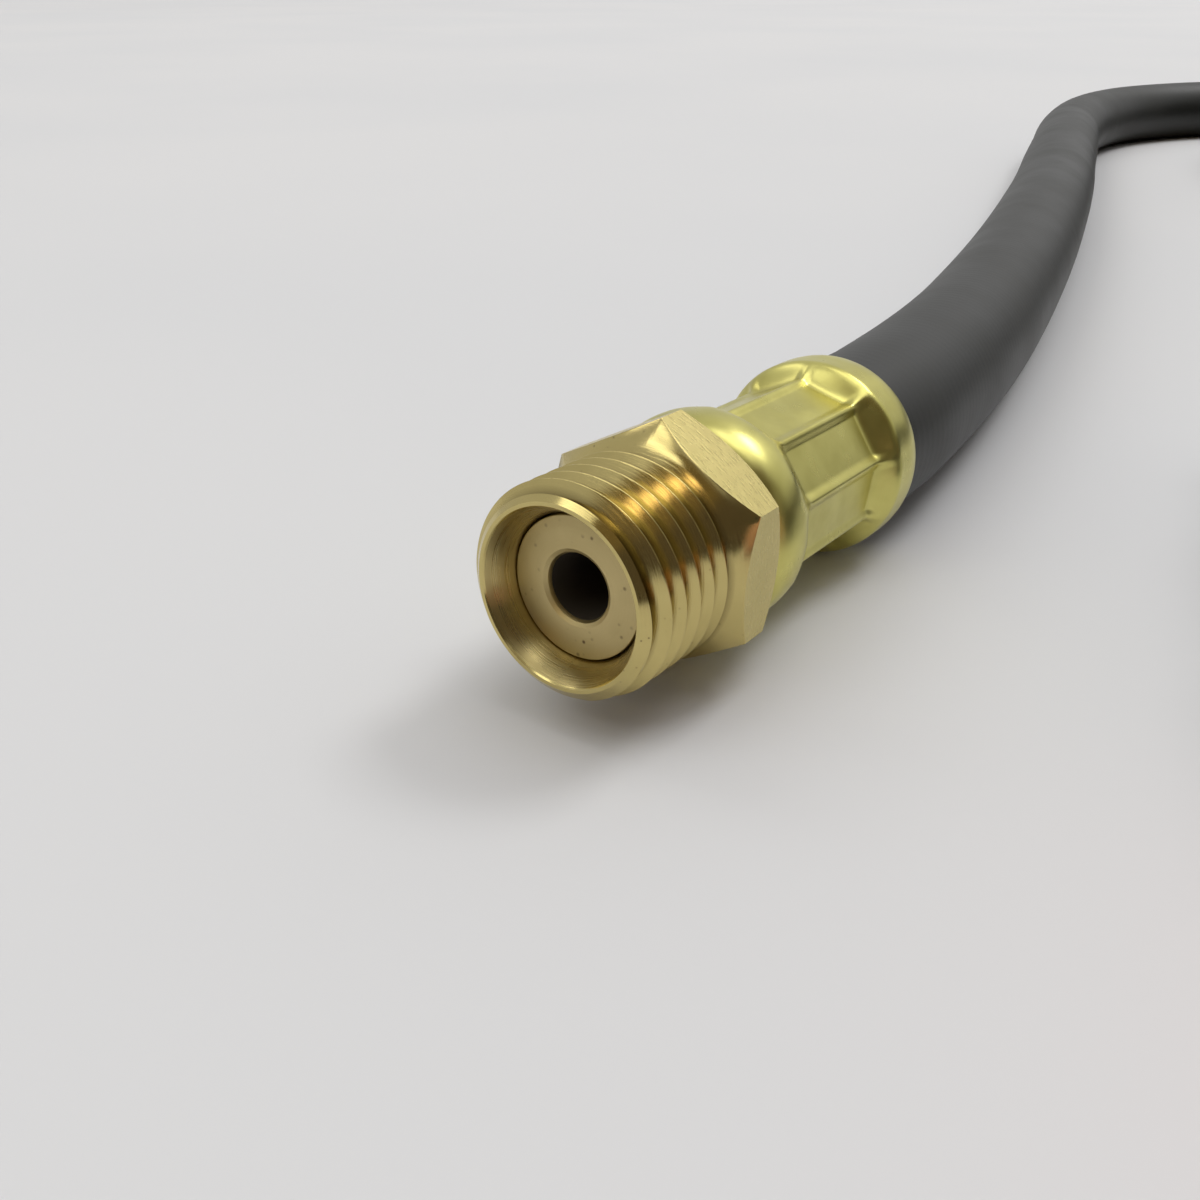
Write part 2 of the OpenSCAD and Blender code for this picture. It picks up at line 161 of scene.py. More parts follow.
# How finely the meshes are divided
NUT_COLUMNS = 180
STEM_COLUMNS = 96
COLUMNS_PER_RIB = 48
FERRULE_STEPS = 109
FERRULE_BORE_STEPS = 6
HOSE_SIDES = 40
STEPS_PER_COIL_TURN = 48
CURVE_STEP = 4

# Camera, found from the photo's ellipses and thread. It looks along +Y, and down by its pitch.
CAMERA_AT = Vector((-124.438, -52.645, 41.79))
CAMERA_PITCH = math.radians(28.3)
CAMERA_LENS = 35.57
CAMERA_SENSOR = 36

# ---------------------------------------------------------------- studio, in metres and degrees
CAMERA_CLIP = (0.002, 50)
FLOOR_SIZE = 40
FLOOR_AT = Vector((0, 8, -0.00002))
PAPER = ((0.735, 0.742, 0.760), (0.755, 0.758, 0.772))
# Painted reflection: beyond this edge the floor is dark for glossy rays only, as shade on the table.
REFLECTED_SHADE_COLOUR = (0.06, 0.045, 0.03)
REFLECTED_SHADE_EDGE_Y = -0.083
REFLECTED_SHADE_FADE = 0.03

# Lamps: azimuth and elevation seen from LAMPS_AIM_AT, sides, watts and colour
LAMP_DISTANCE = 5
LAMPS_AIM_AT = Vector((-0.12, 0.02, 0))
LAMPS = {
    "window": (-51, 48, (1.4, 2.0), 14, (1.0, 0.985, 0.97)),
    "ceiling": (57, 52, (1.6, 1.2), 54, (1.0, 0.99, 0.98)),
    "overhead": (90, 80, (3.0, 3.0), 47, (1.0, 0.995, 0.99))}

# The room: pale walls, and round patches on them. A patch has an azimuth and elevation, the angles
# from there at which it begins to fade and at which it ends, and a colour.
WALLS = (0.57, 0.57, 0.57)
PALE_WALL = [((30, 25), 20, 55, (0.68, 0.68, 0.68))]
DARK_SIDE = [
    ((125, 15), 24, 38, (0.24, 0.22, 0.18)),
    ((158, 15), 24, 38, (0.10, 0.09, 0.07)),
    ((-169, 15), 24, 38, (0.10, 0.08, 0.06)),
    ((136, 48), 16, 24, (0.12, 0.09, 0.06)),
    ((-146, 30), 15, 22, (0.19, 0.14, 0.07)),
    ((-154, 45), 15, 22, (0.19, 0.14, 0.07))]
ROOM_LAMP = [((-145.5, 29.5), 3.8, 6.2, (3.4, 2.5, 1.4))]
PANES_AT = [(-100, 47), (-110, 47), (-120, 47), (-130, 47), (-98, 61), (-113, 63)]
PANES = [(at, 5, 7.5, (2.4, 2.4, 2.3)) for at in PANES_AT]


# ---------------------------------------------------------------- helpers
def connector_matrix():
    """From the connector's own frame, with its axis along Z, to the place where it lies."""
    turned = Matrix.Rotation(HEADING, 4, "Z") @ Matrix.Rotation(math.pi / 2 + DIP, 4, "Y")
    return Matrix.Translation(MOUTH_AT) @ turned


CONNECTOR = connector_matrix()
CONNECTOR_AXIS = (CONNECTOR.to_3x3() @ Vector((0, 0, 1))).normalized()


def ease(t):
    """A soft step from 0 to 1."""
    return (1 - math.cos(math.pi * min(1, max(0, t)))) / 2


def flat(r, z):
    """A row of lathe() that is a plain circle."""
    return lambda angle: (r, z)


def lathe(rows, columns, place):
    """Points, UVs and faces of a closed body round local Z.

    Each row is a function of the angle that gives a radius and a place along the axis. The last row
    joins the first. U runs once round, and V is the way along the surface in millimetres.
    """
    points, uvs, faces = [], [], []
    travel = [0.0] * (columns + 1)
    last_ring, last_base = None, 0
    for row in rows + rows[:1]:
        base = len(points)
        ring = [row(TAU * c / columns) for c in range(columns + 1)]
        if last_ring:
            travel = [way + math.dist(a, b) for way, a, b in zip(travel, ring, last_ring)]
            for c in range(columns):
                faces.append((last_base + c, last_base + c + 1, base + c + 1, base + c))
        if len(set(ring)) == 1:
            travel = [max(travel)] * (columns + 1)
        for c, (r, z) in enumerate(ring):
            angle = TAU * c / columns
            points.append(place @ Vector((r * math.cos(angle), r * math.sin(angle), z)))
            uvs.append((c / columns, travel[c]))
        last_ring, last_base = ring, base
    return points, uvs, faces


def weld(mesh):
    """Joins points that lie on each other, and turns the faces outwards."""
    work = bmesh.new()
    work.from_mesh(mesh)
    bmesh.ops.remove_doubles(work, verts=work.verts, dist=0.002 * MM)
    bmesh.ops.recalc_face_normals(work, faces=work.faces)
    work.to_mesh(mesh)
    work.free()


def new_piece(name, points, uvs, faces, materials, sharp):
    """A piece from points in millimetres. Edges are sharp beyond the angle sharp, in degrees."""
    mesh = bpy.data.meshes.new(name)
    mesh.from_pydata([point * MM for point in points], [], faces)
    layer = mesh.uv_layers.new(name="UVMap")
    for loop in mesh.loops:
        layer.data[loop.index].uv = uvs[loop.vertex_index]
    mesh.validate()
    weld(mesh)
    mesh.shade_smooth()
    mesh.set_sharp_from_angle(angle=math.radians(sharp))
    for material in materials:
        mesh.materials.append(material)
    piece = bpy.data.objects.new(name, mesh)
    bpy.context.scene.collection.objects.link(piece)
    return piece


def choose_materials(piece, choose):
    """Gives each face of a piece on the connector the material that choose(r, angle, z) names."""
    to_connector = CONNECTOR.inverted()
    for face in piece.data.polygons:
        x, y, z = to_connector @ (face.center / MM)
        face.material_index = choose(math.hypot(x, y), math.atan2(y, x), z)


# ---------------------------------------------------------------- materials
class Nodes:
    """A node tree, with short names for the nodes that the materials and the sky use."""

    def __init__(self, tree):
        self.tree = tree

    def feed(self, node, name, value):
        """Gives a node's input a number, a colour or another node's output."""
        if isinstance(value, bpy.types.NodeSocket):
            self.tree.links.new(value, node.inputs[name])
        else:
            node.inputs[name].default_value = value

    def add(self, kind, inputs, **settings):
        node = self.tree.nodes.new(kind)
        for name, value in settings.items():
            setattr(node, name, value)
        for name, value in inputs.items():
            self.feed(node, name, value)
        return node

    def map_range(self, value, low, high, to_low=0.0, to_high=1.0, **settings):
        names = ("Value", "From Min", "From Max", "To Min", "To Max")
        inputs = dict(zip(names, (value, low, high, to_low, to_high)))
        return self.add("ShaderNodeMapRange", inputs, **settings).outputs["Result"]

    def multiply(self, a, b):
        return self.add("ShaderNodeMath", {0: a, 1: b}, operation="MULTIPLY").outputs[0]

    def mix(self, factor, below, above):
        """A colour laid over the one below. 6, 7 and 2 are the colour sockets of the Mix node."""
        inputs = {"Factor": factor, 6: below, 7: (*above, 1)}
        return self.add("ShaderNodeMix", inputs, data_type="RGBA").outputs[2]


class Material(Nodes):
    """A principled material made of procedural patterns."""

    def __init__(self, name, metallic=0.0):
        self.material = bpy.data.materials.new(name)
        self.material.use_nodes = True
        super().__init__(self.material.node_tree)
        self.shader = self.tree.nodes["Principled BSDF"]
        self.surface({"Metallic": metallic})

    def surface(self, channels):
        """Gives channels of the surface, such as its roughness, a number or a pattern."""
        for name, value in channels.items():
            self.feed(self.shader, name, value)

    def coordinates(self, kind, scale=(1, 1, 1)):
        source = self.add("ShaderNodeTexCoord", {})
        mapping = self.add("ShaderNodeMapping", {"Vector": source.outputs[kind], "Scale": scale})
        return mapping.outputs["Vector"]

    def noise(self, vector, scale, detail, roughness):
        inputs = {"Vector": vector, "Scale": scale, "Detail": detail, "Roughness": roughness}
        return self.add("ShaderNodeTexNoise", inputs).outputs["Fac"]

    def cloud(self, scale, detail=3.0, roughness=0.6):
        """Noise through the body of the piece, with about scale spots to the metre."""
        return self.noise(self.coordinates("Object"), scale, detail, roughness)

    def strokes(self, once_round, to_the_mm, roughness):
        """Noise on the UV map, with so many strokes once round the piece and so many along it."""
        return self.noise(self.coordinates("UV", (once_round, to_the_mm, 1)), 1.0, 3.0, roughness)

    def ramp(self, factor, colours):
        """Noise turned into a blend of two colours."""
        node = self.add("ShaderNodeValToRGB", {"Fac": factor})
        for element, place, colour in zip(node.color_ramp.elements, (0.35, 0.65), colours):
            element.position = place
            element.color = (*colour, 1)
        return node.outputs["Color"]

    def spread(self, factor, limits):
        """Noise, which mostly lies between 0.3 and 0.7, stretched to reach from limit to limit."""
        return self.map_range(factor, 0.3, 0.7, *limits)

    def bump(self, height, strength, depth, before=None):
        """Relief from a pattern, with its depth in millimetres, over the relief before it."""
        inputs = {"Height": height, "Strength": strength, "Distance": depth * MM}
        if before:
            inputs["Normal"] = before
        return self.add("ShaderNodeBump", inputs).outputs["Normal"]

    def stain(self, factor, colour):
        """Lays a colour over the base colour."""
        base = self.shader.inputs["Base Color"].links[0].from_socket
        self.surface({"Base Color": self.mix(factor, base, colour)})


def turned_metal(name, colours, roughness, rings, ring_bump, specks=None, corner_shade_reach=None):
    """Metal turned on a lathe: fine rings, soft blotches of colour, perhaps specks of tarnish,
    and perhaps painted shade.

    The tarnish is in specks, given as their number to the metre and their size as a share of the
    way between them. The painted shade darkens the corners, given as the millimetres within which
    other walls count.
    """
    m = Material(name, metallic=1.0)
    grooves = m.strokes(1.5, rings, 0.7)
    m.surface({"Base Color": m.ramp(m.cloud(220), colours),
               "Roughness": m.spread(grooves, roughness),
               "Normal": m.bump(grooves, ring_bump, 0.02)})
    if specks:
        add_specks(m, *specks)
    if corner_shade_reach:
        paint_corner_shade(m, corner_shade_reach)
    return m.material


def add_specks(m, number, size):
    """Small dark specks of tarnish, in patches."""
    cells = m.add("ShaderNodeTexVoronoi", {"Vector": m.coordinates("Object"), "Scale": number})
    near = m.map_range(cells.outputs["Distance"], size, size * 0.4)
    patches = m.spread(m.cloud(number * 0.6, 2.0, 0.5), (-0.4, 1.0))
    m.stain(m.multiply(near, patches), (0.16, 0.11, 0.06))


def paint_corner_shade(m, reach):
    """Painted shade: the base colour is darker where the piece's own walls are near, such as in the
    roots of a thread.
    """
    inputs = {"Distance": reach * MM}
    occlusion = m.add("ShaderNodeAmbientOcclusion", inputs, only_local=True, samples=12)
    m.stain(m.map_range(occlusion.outputs["AO"], 1.0, 0.4), (0.20, 0.15, 0.06))


def brushed_metal(name, colours, roughness, scratch_bump):
    """Metal with short fine scratches along and across, such as a milled hexagon."""
    m = Material(name, metallic=1.0)
    along = m.strokes(320, 1.3, 0.6)
    across = m.strokes(60, 6.5, 0.6)
    scratched = m.bump(across, scratch_bump, 0.02, m.bump(along, scratch_bump, 0.02))
    m.surface({"Base Color": m.ramp(m.cloud(260), colours),
               "Roughness": m.spread(across, roughness),
               "Normal": scratched})
    return m.material


def pressed_metal(name, colours, roughness):
    """Smooth drawn metal with soft clouds of colour and shine."""
    m = Material(name, metallic=1.0)
    shine = m.cloud(420, 2.0, 0.5)
    m.surface({"Base Color": m.ramp(m.cloud(240), colours),
               "Roughness": m.spread(shine, roughness),
               "Normal": m.bump(shine, 0.12, 0.03)})
    return m.material


def moulded(name, colours, roughness, grains, grain_bump):
    """Moulded plastic, rubber or fired ceramic with a fine grain and faint wear; also the painted shade
    deep in the gas bore.
    """
    m = Material(name)
    wear = m.cloud(grains * 0.04)
    m.surface({"Base Color": m.ramp(wear, colours),
               "Roughness": m.spread(wear, roughness),
               "Normal": m.bump(m.cloud(grains, 4.0), grain_bump, 0.05)})
    return m.material


def hose_rubber():
    """Half-glossy black rubber with the faint hoops of its textile layer, one to the millimetre."""
    m = Material("hose_rubber")
    inputs = {"Vector": m.coordinates("UV"), "Scale": 0.314, "Distortion": 0.6, "Detail": 1.0}
    hoops = m.add("ShaderNodeTexWave", inputs, wave_type="BANDS", bands_direction="Y")
    grained = m.bump(m.cloud(2600, 4.0), 0.25, 0.04)
    dust = m.cloud(90)
    m.surface({"Base Color": m.ramp(dust, ((0.014, 0.0145, 0.012), (0.022, 0.0225, 0.019))),
               "Roughness": m.spread(dust, (0.44, 0.54)),
               "Normal": m.bump(hoops.outputs["Fac"], 0.07, 0.06, grained)})
    return m.material


def make_materials():
    """The materials by short names. Each has a darker and a lighter colour and a range of roughness."""
    return {
        # The nut's brass gets painted shade in its corners and thread roots, within 0.8 mm.
        "nut": turned_metal("nut_brass", ((0.55, 0.45, 0.18), (0.61, 0.50, 0.205)), (0.12, 0.20),
                            rings=9, ring_bump=0.35, specks=(1500, 0.13), corner_shade_reach=0.8),
        "stem": turned_metal("stem_brass", ((0.52, 0.42, 0.20), (0.58, 0.47, 0.23)), (0.42, 0.52),
                             rings=7, ring_bump=0.3, specks=(1400, 0.22)),
        # The seat's brass is rougher, and a darker copy of the nut's brass: painted shade inside the
        # mouth.
        "seat": turned_metal("seat_brass_painted_shade", ((0.40, 0.32, 0.14), (0.48, 0.39, 0.17)), (0.20, 0.36),
                             rings=5, ring_bump=1.0),
        "copper": turned_metal("copper", ((0.68, 0.34, 0.20), (0.78, 0.44, 0.28)), (0.25, 0.38),
                               rings=4, ring_bump=0.2),
        "tungsten": turned_metal("tungsten", ((0.32, 0.32, 0.34), (0.42, 0.42, 0.44)), (0.25, 0.38),
                                 rings=14, ring_bump=0.3),
        "hex": brushed_metal("hex_brass", ((0.56, 0.47, 0.185), (0.62, 0.52, 0.21)), (0.24, 0.36),
                             scratch_bump=0.5),
        "ferrule": pressed_metal("ferrule_brass", ((0.56, 0.51, 0.15), (0.66, 0.61, 0.20)),
                                 (0.26, 0.36)),
        # The gas bore is painted near black as shade, with no metal in its material.
        "bore": moulded("gas_bore_painted_shade", ((0.020, 0.015, 0.010), (0.035, 0.027, 0.016)), (0.6, 0.75),
                        grains=1500, grain_bump=0.3),
        "rubber": moulded("moulded_rubber", ((0.020, 0.020, 0.020), (0.032, 0.032, 0.031)),
                          (0.5, 0.62), grains=1800, grain_bump=0.25),
        "plastic": moulded("handle_plastic", ((0.018, 0.018, 0.019), (0.030, 0.030, 0.032)),
                           (0.38, 0.5), grains=1400, grain_bump=0.3),
        "gasket": moulded("gasket_plastic", ((0.74, 0.73, 0.68), (0.84, 0.83, 0.79)), (0.35, 0.45),
                          grains=900, grain_bump=0.1),
        "ceramic": moulded("alumina", ((0.70, 0.40, 0.32), (0.78, 0.48, 0.40)), (0.55, 0.7),
                           grains=2600, grain_bump=0.35),
        "seal": moulded("seal_rubber", ((0.015, 0.015, 0.015), (0.025, 0.025, 0.025)), (0.4, 0.5),
                        grains=900, grain_bump=0.1),
        "hose": hose_rubber(),
    }


# ---------------------------------------------------------------- camera
def make_camera():
    data = bpy.data.cameras.new("camera")
    data.lens = CAMERA_LENS
    data.sensor_width = CAMERA_SENSOR
    data.sensor_fit = "HORIZONTAL"
    data.clip_start, data.clip_end = CAMERA_CLIP
    data.dof.use_dof = False
    camera = bpy.data.objects.new("camera", data)
    camera.location = CAMERA_AT * MM
    camera.rotation_euler = (math.pi / 2 - CAMERA_PITCH, 0, 0)
    bpy.context.scene.collection.objects.link(camera)
    bpy.context.scene.camera = camera


# ---------------------------------------------------------------- lead
def turns_from_reverse(turn):
    """How many turns lie between a turn and the innermost one, rounded where the coil reverses."""
    return math.hypot(turn - COIL_REVERSE, REVERSE_BLEND) - REVERSE_BLEND


def coil_point(turn):
    """The coil winds inwards on the floor, climbs a layer at its innermost turn, and winds out."""
    angle = math.pi / 2 - TAU * turn
    inner_r = COIL_R - TURN_PITCH * turns_from_reverse(0)
    r = inner_r + TURN_PITCH * turns_from_reverse(turn)
    climb = min(1, max(0, (turn - COIL_REVERSE + CLIMB_TURNS / 2) / CLIMB_TURNS))
    return COIL_CENTRE + Vector((r * math.cos(angle), r * math.sin(angle), LIE + TURN_PITCH * climb))


def curve_through(points, step):
    """Points of a smooth curve through the given ones, about step apart."""
    result = []
    for i in range(len(points) - 1):
        a, b = points[i], points[i + 1]
        before = points[i - 1] if i else a + (a - b)
        after = points[i + 2] if i + 2 < len(points) else b + (b - a)
        length = (b - a).length
        start = (b - before) * (length / (length + (a - before).length))
        end = (after - a) * (length / ((after - b).length + length))
        count = max(1, round(length / step))
        for k in range(count):
            t = k / count
            result.append((2 * t ** 3 - 3 * t ** 2 + 1) * a + (t ** 3 - 2 * t ** 2 + t) * start
                          + (3 * t ** 2 - 2 * t ** 3) * b + (t ** 3 - t ** 2) * end)
    result.append(points[-1])
    return result


def lead_route():
    """The lead's centreline from the ferrule to the torch's handle, in millimetres."""
    start = MOUTH_AT + HOSE_END_AT * CONNECTOR_AXIS
    front_end = COIL_CENTRE + Vector((-STRAIGHT_END, COIL_R, LIE))
    front = [start, start + STRAIGHT_AT_FERRULE * CONNECTOR_AXIS]
    front += [Vector(point) for point in FRONT_POINTS] + [front_end]
    coil_steps = round(COIL_TURNS * STEPS_PER_COIL_TURN)
    coil = [coil_point(i / STEPS_PER_COIL_TURN) for i in range(coil_steps + 1)]
    rear_start = coil[-1] - Vector((0, STRAIGHT_END, 0))
    x, y = rear_start.x, rear_start.y
    rear_y, rear_z = TORCH_REAR.y, TORCH_REAR.z
    rear_points = [
        (x, y - 21, 19), (x, y - 41, 13.5), (x, y - 65, 8.5), (x - 0.5, 76, LIE), (x - 3.5, 52, LIE),
        (x - 14, 28, LIE), (x - 34, 11.5, 7), (x - 60, rear_y, 10.2), (x - 74, rear_y, rear_z),
        (x - 102, rear_y, rear_z)]
    rear = [rear_start] + [Vector(point) for point in rear_points] + [TORCH_REAR]
    route = curve_through(front, CURVE_STEP)[:-1] + [front_end] + coil + curve_through(rear, CURVE_STEP)
    return [Vector((p.x, p.y, max(p.z, LIE))) for p in route]


def hose_along(route):
    """Points, UVs and faces of the hose along its route, with closed ends, and its length."""
    width = HOSE_SIDES + 1
    last = len(route) - 1
    points, uvs, faces = [], [], []
    travel = 0
    for i, centre in enumerate(route):
        if i == 0:
            along = CONNECTOR_AXIS
        elif i == last:
            along = Vector((-1, 0, 0))
        else:
            along = (route[i + 1] - route[i - 1]).normalized()
        side = along.cross(Vector((0, 0, 1))).normalized()
        up = side.cross(along)
        if i:
            travel += (centre - route[i - 1]).length
        for k in range(width):
            angle = TAU * k / HOSE_SIDES
            points.append(centre + HOSE_R * (math.cos(angle) * up - math.sin(angle) * side))
            uvs.append((k / HOSE_SIDES, travel))
    for a in range(0, last * width, width):
        for k in range(HOSE_SIDES):
            faces.append((a + k, a + k + 1, a + width + k + 1, a + width + k))
    faces.append(tuple(reversed(range(HOSE_SIDES))))
    faces.append(tuple(last * width + k for k in range(HOSE_SIDES)))
    return points, uvs, faces, travel


def make_lead(materials):
    """Gives the lead, its route and its length in millimetres."""
    route = lead_route()
    points, uvs, faces, length = hose_along(route)
    lead = new_piece("lead", points, uvs, faces, [materials["hose"]], sharp=60)
    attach(lead, "torch_and_lead")
    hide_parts("lead_front", "lead_coil", "lead_rear")
    return lead, route, length


# ---------------------------------------------------------------- coupling nut
def hex_r(angle):
    from_flat = (angle - HEX_TURN) % (math.pi / 3) - math.pi / 6
    return HEX_FLATS / 2 / math.cos(from_flat)


def thread_depth(from_crest):
    """Depth of the thread's profile: a rounded crest, a straight flank and a rounded root."""
    from_root = THREAD_PITCH / 2 - from_crest
    if from_crest < CREST_ROUND * math.sin(FLANK):
        return CREST_ROUND - math.sqrt(CREST_ROUND ** 2 - from_crest ** 2)
    if from_root < ROOT_ROUND * math.sin(FLANK):
        return THREAD_DEPTH - ROOT_ROUND + math.sqrt(ROOT_ROUND ** 2 - from_root ** 2)
    crest_depth = CREST_ROUND * (1 - math.cos(FLANK))
    return crest_depth + (from_crest - CREST_ROUND * math.sin(FLANK)) * math.tan(FLANK)


def thread_knots():
    """Places along one pitch, from crest to crest, where the mesh of the thread has its points."""
    turns = [FLANK * i / 4 for i in range(5)]
    crest = [CREST_ROUND * math.sin(a) for a in turns]
    root = [THREAD_PITCH / 2 - ROOT_ROUND * math.sin(a) for a in reversed(turns)]
    flank = [crest[-1] + part * (root[0] - crest[-1]) for part in FLANK_KNOTS]
    half = crest + flank + root
    return half[:-1] + [THREAD_PITCH - x for x in reversed(half[1:])]


def thread_r(angle, z):
    """Radius of the screwed part at an angle and a distance from the mouth."""
    turn = (z - THREAD_START_Z) / THREAD_PITCH - (angle + THREAD_PHASE) / TAU
    entry = ENTRY_DEPTH + (1 - ENTRY_DEPTH) * ease((z - ENTRY_END) / ENTRY_FADE)
    groove = THREAD_R - entry * thread_depth(abs(turn - round(turn)) * THREAD_PITCH)
    runout = THREAD_R - max(0, THREAD_LENGTH - z) * RUNOUT_SLOPE
    bevel = RIM_R + BEVEL_SLOPE * z
    lip_back = bevel - LIP_BACK_SLOPE * max(0, z - LIP_LENGTH)
    return min(max(groove, runout, lip_back), bevel, THREAD_R)


def thread_row(turn):
    """A row of lathe() that follows the thread, and stays between the lip and the thread's end."""
    def row(angle):
        z = THREAD_START_Z + THREAD_PITCH * (turn + (angle + THREAD_PHASE) / TAU)
        z = min(THREAD_LENGTH, max(LIP_LENGTH, z))
        return thread_r(angle, z), z
    return row


def front_edge(angle):
    return hex_r(angle), THREAD_LENGTH + (hex_r(angle) - THREAD_R) * HEX_FRONT_SLOPE


def rear_edge(angle):
    return hex_r(angle), NUT_END - (hex_r(angle) - HEX_REAR_R) * HEX_REAR_SLOPE


def beside(edge, inwards, along):
    """A row of lathe() beside an edge, so that the edge is softly broken."""
    return lambda angle: (edge(angle)[0] - inwards, edge(angle)[1] + along)


def nut_finish(r, angle, z):
    """1 on the hexagon's flats, 2 on the seat and deep in the first groove, which are rougher and
    painted darker as shade, 0 elsewhere.
    """
    if r > hex_r(angle) - HEX_EDGE / 3:
        return 1
    if SEAT_R < r < MOUTH_R - SEAT_EDGE and 2 * MOUTH_EDGE < z < SEAT_DEPTH:
        return 2
    return 0


def make_nut(materials):
    """The nut's rows run back along its outside, and forward through its bore to the mouth."""
    knots = [x / THREAD_PITCH for x in thread_knots()]
    turns = range(-2, math.ceil(THREAD_LENGTH / THREAD_PITCH) + 1)
    lip = [flat(RIM_R, 0), flat(RIM_R + BEVEL_SLOPE * LIP_LENGTH, LIP_LENGTH)]
    thread = [thread_row(turn + knot) for turn in turns for knot in knots]
    hexagon = [flat(THREAD_R, THREAD_LENGTH),
               beside(front_edge, HEX_EDGE, -HEX_EDGE_ALONG), beside(front_edge, 0, HEX_EDGE),
               beside(rear_edge, 0, -HEX_EDGE), beside(rear_edge, HEX_EDGE, HEX_EDGE_ALONG),
               flat(HEX_REAR_R, NUT_END)]
    inside = [flat(SHANK_BORE_R, NUT_END), flat(SHANK_BORE_R, NUT_SHOULDER), flat(SEAT_R, NUT_SHOULDER),
              flat(SEAT_R, SEAT_DEPTH + SEAT_EDGE), flat(SEAT_R + SEAT_EDGE, SEAT_DEPTH - 2 * SEAT_EDGE),
              flat(MOUTH_R - MOUTH_EDGE_IN, 2 * MOUTH_EDGE), flat(MOUTH_R + MOUTH_EDGE, 0)]
    points, uvs, faces = lathe(lip + thread + hexagon + inside, NUT_COLUMNS, CONNECTOR)
    finishes = [materials["nut"], materials["hex"], materials["seat"]]
    nut = new_piece("coupling_nut_body", points, uvs, faces, finishes, sharp=28)
    choose_materials(nut, nut_finish)
    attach(nut, "coupling_nut")
    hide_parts("coupling_nut")
    return nut


# ---------------------------------------------------------------- stem
def stem_finish(r, angle, z):
    """1 deep in the gas bore, whose near-black colour is painted shade, 0 elsewhere."""
    return 1 if z > STEM_FACE + BORE_CHAMFER_DEPTH and r < GAS_BORE_R else 0


def make_stem(materials):
    """The stem's rows run from its bore over the flange, the collar and the barbs to its end."""
    wider, deeper = BORE_CHAMFER_MIDDLE
    chamfer = [flat(GAS_BORE_R, STEM_FACE + BORE_CHAMFER_DEPTH),
               flat(GAS_BORE_R + wider, STEM_FACE + deeper), flat(GAS_BORE_R + BORE_CHAMFER, STEM_FACE)]
    flange = [flat(FLANGE_R - FLANGE_EDGE, STEM_FACE),
              flat(FLANGE_R - FLANGE_EDGE * 0.3, STEM_FACE + FLANGE_EDGE * 0.3),
              flat(FLANGE_R, STEM_FACE + FLANGE_EDGE), flat(FLANGE_R, FLANGE_END)]
    shank = [flat(SHANK_R, FLANGE_END), flat(SHANK_R, COLLAR_START),
             flat(COLLAR_R, COLLAR_START), flat(COLLAR_R, BARB_START)]
    barbs = []
    for i in range(BARBS):
        start = BARB_START + i * BARB_PITCH
        barbs += [flat(TAIL_R, start), flat(BARB_R, start + BARB_LENGTH)]
    tail = [flat(TAIL_R, STEM_END - TAIL_LENGTH), flat(TAIL_R, STEM_END), flat(GAS_BORE_R, STEM_END)]
    points, uvs, faces = lathe(chamfer + flange + shank + barbs + tail, STEM_COLUMNS, CONNECTOR)
    finishes = [materials["stem"], materials["bore"]]
    stem = new_piece("connector_stem_body", points, uvs, faces, finishes, sharp=30)
    choose_materials(stem, stem_finish)
    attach(stem, "torch_and_lead")
    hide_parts("connector_stem")
    return stem


# ---------------------------------------------------------------- ferrule
def waist_r(angle):
    """Radius of the crimped waist: pressed panels with a narrow rib where the dies meet."""
    step = TAU / RIBS
    turn = (angle - RIB_TURN) % step
    from_rib = min(turn, step - turn)
    panel = WAIST_FLAT_R / math.cos(step / 2 - from_rib)
    rise = ease((RIB_FOOT - from_rib * RIB_R) / RIB_SIDE)
    return panel + (RIB_R - panel) * rise


def bead_end_r(drop, t):
    """Radius of a bead's rounded end, from its peak where t is 0 to its edge where t is 1."""
    return BEAD_R - drop + drop * math.sqrt(max(0, 1 - t ** END_POWER))


def ferrule_r(angle, z):
    waist = waist_r(angle)
    if z <= FRONT_PEAK:
        return bead_end_r(FRONT_DROP, (FRONT_PEAK - z) / (FRONT_PEAK - FERRULE_START))
    if z < WAIST_START:
        t = (z - FRONT_PEAK) / (WAIST_START - FRONT_PEAK)
        return BEAD_R + (waist - BEAD_R) * ease(t ** WAIST_POWER)
    if z < WAIST_END:
        return waist
    if z < REAR_PEAK:
        return waist + (BEAD_R - waist) * ease((z - WAIST_END) / REAR_RISE)
    return bead_end_r(REAR_DROP, (z - REAR_PEAK) / (FERRULE_END - REAR_PEAK))


def make_ferrule(materials):
    """The ferrule's rows run back along its outside, and forward through its bore."""
    mouth_r = HOSE_R + CLEARANCE
    front_r = SHANK_R + CLEARANCE
    front_wall = COLLAR_START - CLEARANCE
    rows = []
    for i in range(FERRULE_STEPS + 1):
        z = FERRULE_START + (FERRULE_END - FERRULE_START) * (i / FERRULE_STEPS)
        rows.append(lambda angle, z=z: (ferrule_r(angle, z), z))
    rows.append(flat(mouth_r, FERRULE_END))
    for i in range(FERRULE_BORE_STEPS + 1):
        t = 1 - i / FERRULE_BORE_STEPS
        z = WAIST_END + (FERRULE_END - BORE_MOUTH - WAIST_END) * t
        rows.append(flat(CRIMPED_BORE_R + (mouth_r - CRIMPED_BORE_R) * ease(t), z))
    rows += [flat(CRIMPED_BORE_R, front_wall), flat(front_r, front_wall), flat(front_r, FERRULE_START)]
    points, uvs, faces = lathe(rows, RIBS * COLUMNS_PER_RIB, CONNECTOR)
    ferrule = new_piece("crimped_ferrule", points, uvs, faces, [materials["ferrule"]], sharp=50)
    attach(ferrule, "torch_and_lead")
    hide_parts("connector_ferrule")
    return ferrule


